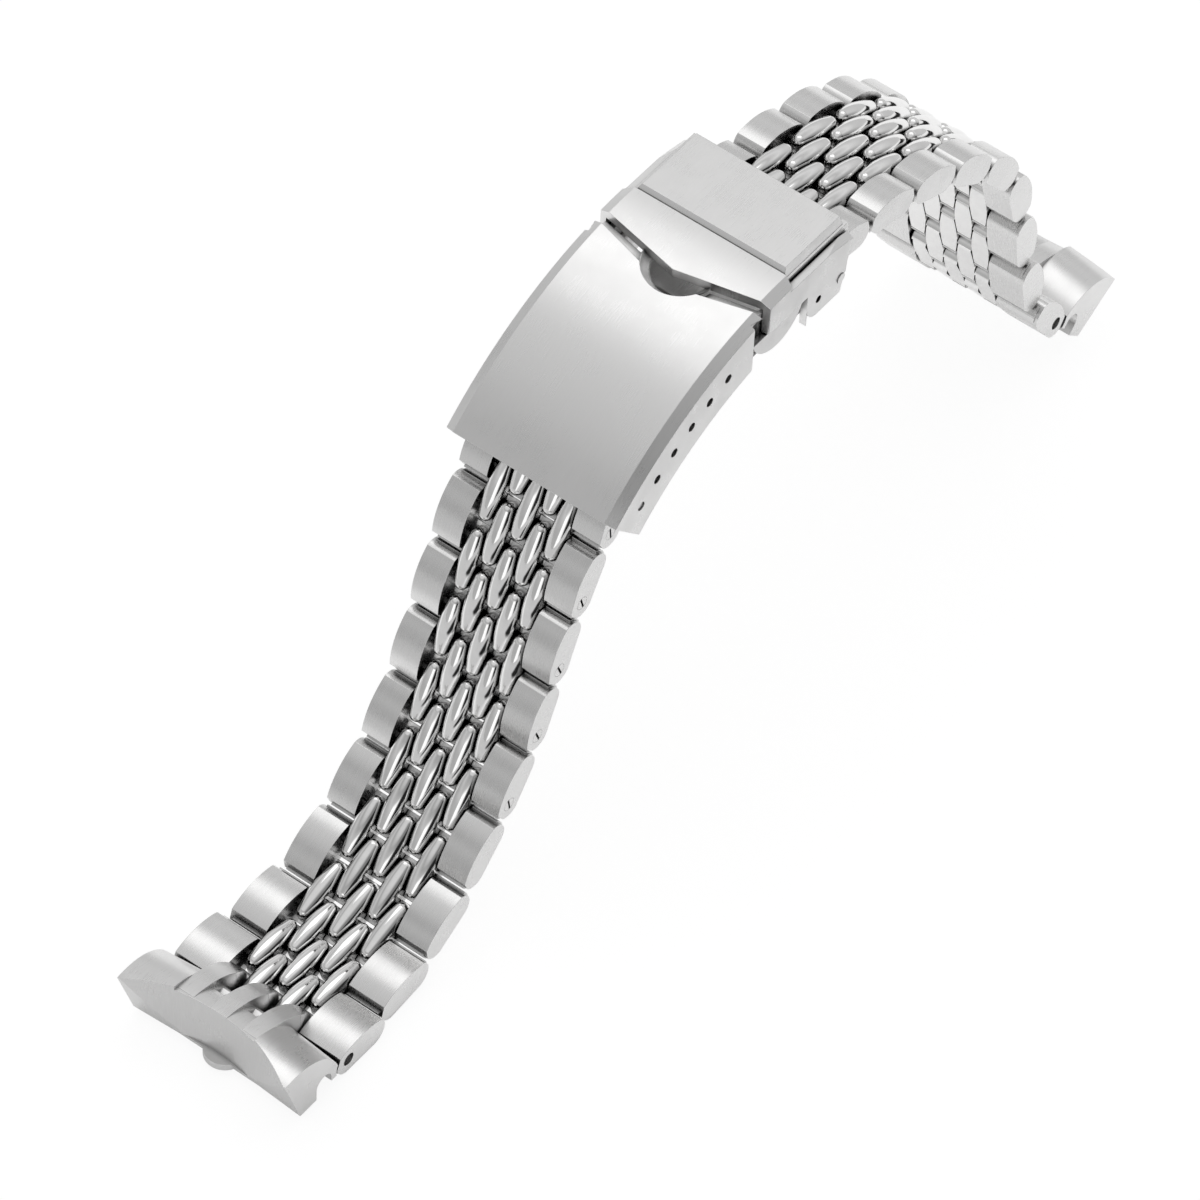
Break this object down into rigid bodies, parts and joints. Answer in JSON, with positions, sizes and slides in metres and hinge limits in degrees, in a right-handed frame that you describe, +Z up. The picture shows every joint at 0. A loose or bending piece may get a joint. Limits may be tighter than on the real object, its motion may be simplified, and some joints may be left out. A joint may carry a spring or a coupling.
{
  "type": "watch bracelet",
  "caption": "Arched steel watch bracelet of interlocking bead rows and side links, with curved end links and a folding clasp with a flip-over safety lock.",
  "frame": {"origin": "on the table under the middle of the strap, between its two end links", "axes": "+X across the strap to the side with the screw heads, +Y along the strap from the front end link to the back one, +Z up"},
  "size_m": [0.022, 0.1457, 0.0589],
  "materials": {
    "brushed_steel": "brushed across the strap",
    "polished_steel": "mirror polish",
    "clasp_steel": "fine brush along the strap",
    "blade_steel": "satin",
    "button_steel": "satin",
    "pin_steel": "turned"
  },
  "bodies": {
    "clasp_base": {"lower_blade": "blade_steel", "end_plate": "clasp_steel"},
    "upper_blade": {"upper_blade": "blade_steel", "blade_pins": "pin_steel"},
    "cover": {"clasp_cover": "clasp_steel"},
    "safety_lock": {"safety_lock": "clasp_steel"},
    "left_button": {"left_button": "button_steel"},
    "right_button": {"right_button": "button_steel"},
    "front_clasp_link": {"front_clasp_link": "brushed_steel"},
    "front_beads_1": {"front_bead_row_1": "polished_steel"},
    "front_row_1": {"front_side_links_1": "brushed_steel", "front_centre_beads_1": "polished_steel"},
    "front_beads_2": {"front_bead_row_2": "polished_steel"},
    "front_row_2": {"front_side_links_2": "brushed_steel", "front_centre_beads_2": "polished_steel"},
    "front_beads_3": {"front_bead_row_3": "polished_steel"},
    "front_row_3": {"front_side_links_3": "brushed_steel", "front_centre_beads_3": "polished_steel"},
    "front_beads_4": {"front_bead_row_4": "polished_steel"},
    "front_row_4": {"front_side_links_4": "brushed_steel", "front_centre_beads_4": "polished_steel"},
    "front_beads_5": {"front_bead_row_5": "polished_steel"},
    "front_row_5": {"front_side_links_5": "brushed_steel", "front_centre_beads_5": "polished_steel"},
    "front_beads_6": {"front_bead_row_6": "polished_steel"},
    "front_row_6": {"front_side_links_6": "brushed_steel", "front_centre_beads_6": "polished_steel"},
    "front_beads_7": {"front_bead_row_7": "polished_steel"},
    "front_row_7": {"front_side_links_7": "brushed_steel", "front_centre_beads_7": "polished_steel"},
    "front_beads_8": {"front_bead_row_8": "polished_steel"},
    "front_row_8": {"front_side_links_8": "brushed_steel", "front_centre_beads_8": "polished_steel"},
    "front_end_link": {"front_end_link": "brushed_steel"},
    "back_clasp_link": {"back_clasp_link": "brushed_steel"},
    "back_beads_1": {"back_bead_row_1": "polished_steel"},
    "back_row_1": {"back_side_links_1": "brushed_steel", "back_centre_beads_1": "polished_steel"},
    "back_beads_2": {"back_bead_row_2": "polished_steel"},
    "back_row_2": {"back_side_links_2": "brushed_steel", "back_centre_beads_2": "polished_steel"},
    "back_beads_3": {"back_bead_row_3": "polished_steel"},
    "back_row_3": {"back_side_links_3": "brushed_steel", "back_centre_beads_3": "polished_steel"},
    "back_beads_4": {"back_bead_row_4": "polished_steel"},
    "back_row_4": {"back_side_links_4": "brushed_steel", "back_centre_beads_4": "polished_steel"},
    "back_beads_5": {"back_bead_row_5": "polished_steel"},
    "back_row_5": {"back_side_links_5": "brushed_steel", "back_centre_beads_5": "polished_steel"},
    "back_beads_6": {"back_bead_row_6": "polished_steel"},
    "back_row_6": {"back_side_links_6": "brushed_steel", "back_centre_beads_6": "polished_steel"},
    "back_beads_7": {"back_bead_row_7": "polished_steel"},
    "back_row_7": {"back_side_links_7": "brushed_steel", "back_centre_beads_7": "polished_steel"},
    "back_beads_8": {"back_bead_row_8": "polished_steel"},
    "back_row_8": {"back_side_links_8": "brushed_steel", "back_centre_beads_8": "polished_steel"},
    "back_end_link": {"back_end_link": "brushed_steel"}
  },
  "joints": [
    {"name": "blade_fold", "type": "hinge", "parent": "clasp_base", "child": "upper_blade", "pos_m": [0, -0.01223, 0.04483], "axis": [1, 0, 0], "range_deg": [0, 140]},
    {"name": "cover_fold", "type": "hinge", "parent": "upper_blade", "child": "cover", "pos_m": [0, 0.00055, 0.05217], "axis": [1, 0, 0], "range_deg": [-140, 0]},
    {"name": "lock_flip", "type": "hinge", "parent": "clasp_base", "child": "safety_lock", "pos_m": [0, 0.01697, 0.05196], "axis": [1, 0, 0], "range_deg": [-110, 0]},
    {"name": "left_button_press", "type": "slide", "parent": "clasp_base", "child": "left_button", "axis": [1, 0, 0], "range_m": [0, 0.0006], "stiffness_N_per_m": 800},
    {"name": "right_button_press", "type": "slide", "parent": "clasp_base", "child": "right_button", "axis": [-1, 0, 0], "range_m": [0, 0.0006], "stiffness_N_per_m": 800},
    {"name": "front_clasp_hinge", "type": "hinge", "parent": "cover", "child": "front_clasp_link", "pos_m": [0, -0.01614, 0.04617], "axis": [1, 0, 0], "range_deg": [-9.4, 10.6]},
    {"name": "front_beads_hinge_1", "type": "hinge", "parent": "front_clasp_link", "child": "front_beads_1", "pos_m": [0, -0.01869, 0.04296], "axis": [1, 0, 0], "range_deg": [-19, 8]},
    {"name": "front_row_hinge_1", "type": "hinge", "parent": "front_beads_1", "child": "front_row_1", "pos_m": [0, -0.02101, 0.03958], "axis": [1, 0, 0], "range_deg": [-20, 7]},
    {"name": "front_beads_hinge_2", "type": "hinge", "parent": "front_row_1", "child": "front_beads_2", "pos_m": [0, -0.02303, 0.03601], "axis": [1, 0, 0], "range_deg": [-19, 8]},
    {"name": "front_row_hinge_2", "type": "hinge", "parent": "front_beads_2", "child": "front_row_2", "pos_m": [0, -0.02479, 0.03231], "axis": [1, 0, 0], "range_deg": [-17, 10]},
    {"name": "front_beads_hinge_3", "type": "hinge", "parent": "front_row_2", "child": "front_beads_3", "pos_m": [0, -0.02643, 0.02855], "axis": [1, 0, 0], "range_deg": [-15, 12]},
    {"name": "front_row_hinge_3", "type": "hinge", "parent": "front_beads_3", "child": "front_row_3", "pos_m": [0, -0.02806, 0.02479], "axis": [1, 0, 0], "range_deg": [-14, 13]},
    {"name": "front_beads_hinge_4", "type": "hinge", "parent": "front_row_3", "child": "front_beads_4", "pos_m": [0, -0.02976, 0.02106], "axis": [1, 0, 0], "range_deg": [-9, 18]},
    {"name": "front_row_hinge_4", "type": "hinge", "parent": "front_beads_4", "child": "front_row_4", "pos_m": [0, -0.03184, 0.01753], "axis": [1, 0, 0], "range_deg": [-10, 17]},
    {"name": "front_beads_hinge_5", "type": "hinge", "parent": "front_row_4", "child": "front_beads_5", "pos_m": [0, -0.03422, 0.01419], "axis": [1, 0, 0], "range_deg": [-11, 16]},
    {"name": "front_row_hinge_5", "type": "hinge", "parent": "front_beads_5", "child": "front_row_5", "pos_m": [0, -0.03683, 0.01102], "axis": [1, 0, 0], "range_deg": [-10, 17]},
    {"name": "front_beads_hinge_6", "type": "hinge", "parent": "front_row_5", "child": "front_beads_6", "pos_m": [0, -0.0397, 0.0081], "axis": [1, 0, 0], "range_deg": [-9, 18]},
    {"name": "front_row_hinge_6", "type": "hinge", "parent": "front_beads_6", "child": "front_row_6", "pos_m": [0, -0.04286, 0.00549], "axis": [1, 0, 0], "range_deg": [-6, 21]},
    {"name": "front_beads_hinge_7", "type": "hinge", "parent": "front_row_6", "child": "front_beads_7", "pos_m": [0, -0.04639, 0.00341], "axis": [1, 0, 0], "range_deg": [-2, 25]},
    {"name": "front_row_hinge_7", "type": "hinge", "parent": "front_beads_7", "child": "front_row_7", "pos_m": [0, -0.0503, 0.00217], "axis": [1, 0, 0], "range_deg": [-3, 24]},
    {"name": "front_beads_hinge_8", "type": "hinge", "parent": "front_row_7", "child": "front_beads_8", "pos_m": [0, -0.05439, 0.00178], "axis": [1, 0, 0], "range_deg": [-9, 18]},
    {"name": "front_row_hinge_8", "type": "hinge", "parent": "front_beads_8", "child": "front_row_8", "pos_m": [0, -0.05849, 0.00181], "axis": [1, 0, 0], "range_deg": [-14, 13]},
    {"name": "front_end_hinge", "type": "hinge", "parent": "front_row_8", "child": "front_end_link", "pos_m": [0, -0.06258, 0.00192], "axis": [1, 0, 0], "range_deg": [-16, 11]},
    {"name": "back_clasp_hinge", "type": "hinge", "parent": "clasp_base", "child": "back_clasp_link", "pos_m": [0, 0.01857, 0.05278], "axis": [1, 0, 0], "range_deg": [-18.2, 5.8]},
    {"name": "back_beads_hinge_1", "type": "hinge", "parent": "back_clasp_link", "child": "back_beads_1", "pos_m": [0, 0.02264, 0.05225], "axis": [1, 0, 0], "range_deg": [-9.5, 18]},
    {"name": "back_row_hinge_1", "type": "hinge", "parent": "back_beads_1", "child": "back_row_1", "pos_m": [0, 0.02667, 0.0515], "axis": [1, 0, 0], "range_deg": [-9.5, 18]},
    {"name": "back_beads_hinge_2", "type": "hinge", "parent": "back_row_1", "child": "back_beads_2", "pos_m": [0, 0.03066, 0.05055], "axis": [1, 0, 0], "range_deg": [-8.5, 19]},
    {"name": "back_row_hinge_2", "type": "hinge", "parent": "back_beads_2", "child": "back_row_2", "pos_m": [0, 0.03457, 0.04931], "axis": [1, 0, 0], "range_deg": [-7.5, 20]},
    {"name": "back_beads_hinge_3", "type": "hinge", "parent": "back_row_2", "child": "back_beads_3", "pos_m": [0, 0.03836, 0.04775], "axis": [1, 0, 0], "range_deg": [-6.5, 21]},
    {"name": "back_row_hinge_3", "type": "hinge", "parent": "back_beads_3", "child": "back_row_3", "pos_m": [0, 0.04196, 0.04579], "axis": [1, 0, 0], "range_deg": [-6.5, 21]},
    {"name": "back_beads_hinge_4", "type": "hinge", "parent": "back_row_3", "child": "back_beads_4", "pos_m": [0, 0.04534, 0.04347], "axis": [1, 0, 0], "range_deg": [-5.5, 22]},
    {"name": "back_row_hinge_4", "type": "hinge", "parent": "back_beads_4", "child": "back_row_4", "pos_m": [0, 0.04841, 0.04075], "axis": [1, 0, 0], "range_deg": [-4.5, 23]},
    {"name": "back_beads_hinge_5", "type": "hinge", "parent": "back_row_4", "child": "back_beads_5", "pos_m": [0, 0.05108, 0.03764], "axis": [1, 0, 0], "range_deg": [-1.5, 26]},
    {"name": "back_row_hinge_5", "type": "hinge", "parent": "back_beads_5", "child": "back_row_5", "pos_m": [0, 0.0531, 0.03407], "axis": [1, 0, 0], "range_deg": [-0.5, 27]},
    {"name": "back_beads_hinge_6", "type": "hinge", "parent": "back_row_5", "child": "back_beads_6", "pos_m": [0, 0.05433, 0.03016], "axis": [1, 0, 0], "range_deg": [-4.5, 23]},
    {"name": "back_row_hinge_6", "type": "hinge", "parent": "back_beads_6", "child": "back_row_6", "pos_m": [0, 0.05501, 0.02612], "axis": [1, 0, 0], "range_deg": [-12.5, 15]},
    {"name": "back_beads_hinge_7", "type": "hinge", "parent": "back_row_6", "child": "back_beads_7", "pos_m": [0, 0.05568, 0.02207], "axis": [1, 0, 0], "range_deg": [-12.5, 15]},
    {"name": "back_row_hinge_7", "type": "hinge", "parent": "back_beads_7", "child": "back_row_7", "pos_m": [0, 0.05636, 0.01803], "axis": [1, 0, 0], "range_deg": [-15.5, 12]},
    {"name": "back_beads_hinge_8", "type": "hinge", "parent": "back_row_7", "child": "back_beads_8", "pos_m": [0, 0.05725, 0.01403], "axis": [1, 0, 0], "range_deg": [-22.5, 5]},
    {"name": "back_row_hinge_8", "type": "hinge", "parent": "back_beads_8", "child": "back_row_8", "pos_m": [0, 0.05882, 0.01024], "axis": [1, 0, 0], "range_deg": [-25.5, 2]},
    {"name": "back_end_hinge", "type": "hinge", "parent": "back_row_8", "child": "back_end_link", "pos_m": [0, 0.0612, 0.0069], "axis": [1, 0, 0], "range_deg": [-24.5, 3]}
  ],
  "couplings": [
    {"joint": "cover_fold", "follows": "blade_fold", "ratio": -1}
  ]
}
